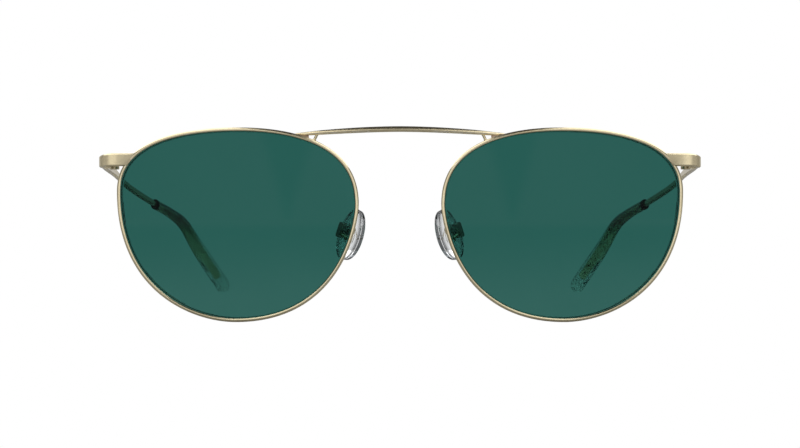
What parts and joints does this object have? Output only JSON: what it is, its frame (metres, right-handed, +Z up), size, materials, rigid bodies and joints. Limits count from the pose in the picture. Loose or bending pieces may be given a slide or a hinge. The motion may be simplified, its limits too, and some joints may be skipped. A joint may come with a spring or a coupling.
{
  "type": "sunglasses",
  "caption": "Thin metal sunglasses with rounded pilot lenses, one slim top bridge, clear nose pads and folding temples.",
  "frame": {"origin": "centre of the footprint of the open glasses, on the surface that they stand on", "axes": "+X towards the wearer's left, +Y back towards the ears, +Z up"},
  "size_m": [0.14, 0.1384, 0.0451],
  "materials": {
    "gold_metal": "pale champagne-gold plating on a nickel alloy, satin to bright",
    "steel": "bare screws, pad boxes and inserts",
    "green_lens": "polished lens with an even dark blue-green tint",
    "clear_silicone": "clear soft silicone, glossy",
    "clear_acetate": "clear polished acetate over a metal core",
    "dark_collar": "dark collar where the arm enters the tip"
  },
  "bodies": {
    "front_frame": {"bridge_bar": "gold_metal", "left_rim": "gold_metal", "left_lens": "green_lens", "left_end_piece": "gold_metal", "left_rim_lock_upper_block": "gold_metal", "left_rim_lock_lower_block": "gold_metal", "left_rim_lock_screw": "steel", "left_hinge_front_leaf": "gold_metal", "left_hinge_screw": "steel", "left_bridge_strut": "gold_metal", "left_pad_arm": "gold_metal", "left_pad_box": "steel", "left_pad_screw": "steel", "right_rim": "gold_metal", "right_lens": "green_lens", "right_end_piece": "gold_metal", "right_rim_lock_upper_block": "gold_metal", "right_rim_lock_lower_block": "gold_metal", "right_rim_lock_screw": "steel", "right_hinge_front_leaf": "gold_metal", "right_hinge_screw": "steel", "right_bridge_strut": "gold_metal", "right_pad_arm": "gold_metal", "right_pad_box": "steel", "right_pad_screw": "steel"},
    "left_temple": {"left_temple_arm": "gold_metal", "left_tip_collar": "dark_collar", "left_temple_tip": "clear_acetate", "left_hinge_temple_leaf": "gold_metal"},
    "left_pad": {"left_nose_pad": "clear_silicone", "left_pad_insert": "steel"},
    "right_temple": {"right_temple_arm": "gold_metal", "right_tip_collar": "dark_collar", "right_temple_tip": "clear_acetate", "right_hinge_temple_leaf": "gold_metal"},
    "right_pad": {"right_nose_pad": "clear_silicone", "right_pad_insert": "steel"}
  },
  "joints": [
    {"name": "left_temple_fold", "type": "hinge", "parent": "front_frame", "child": "left_temple", "pos_m": [0.0669, -0.05683, 0.03653], "axis": [0, 0, 1], "range_deg": [0, 83]},
    {"name": "right_temple_fold", "type": "hinge", "parent": "front_frame", "child": "right_temple", "pos_m": [-0.0669, -0.05683, 0.03653], "axis": [0, 0, -1], "range_deg": [0, 80]},
    {"name": "left_pad_rock", "type": "hinge", "parent": "front_frame", "child": "left_pad", "pos_m": [0.0134, -0.06043, 0.021], "axis": [0.504, 0.848, 0.1638], "range_deg": [-8, 8]},
    {"name": "right_pad_rock", "type": "hinge", "parent": "front_frame", "child": "right_pad", "pos_m": [-0.0134, -0.06043, 0.021], "axis": [-0.504, 0.848, 0.1638], "range_deg": [-8, 8]}
  ]
}
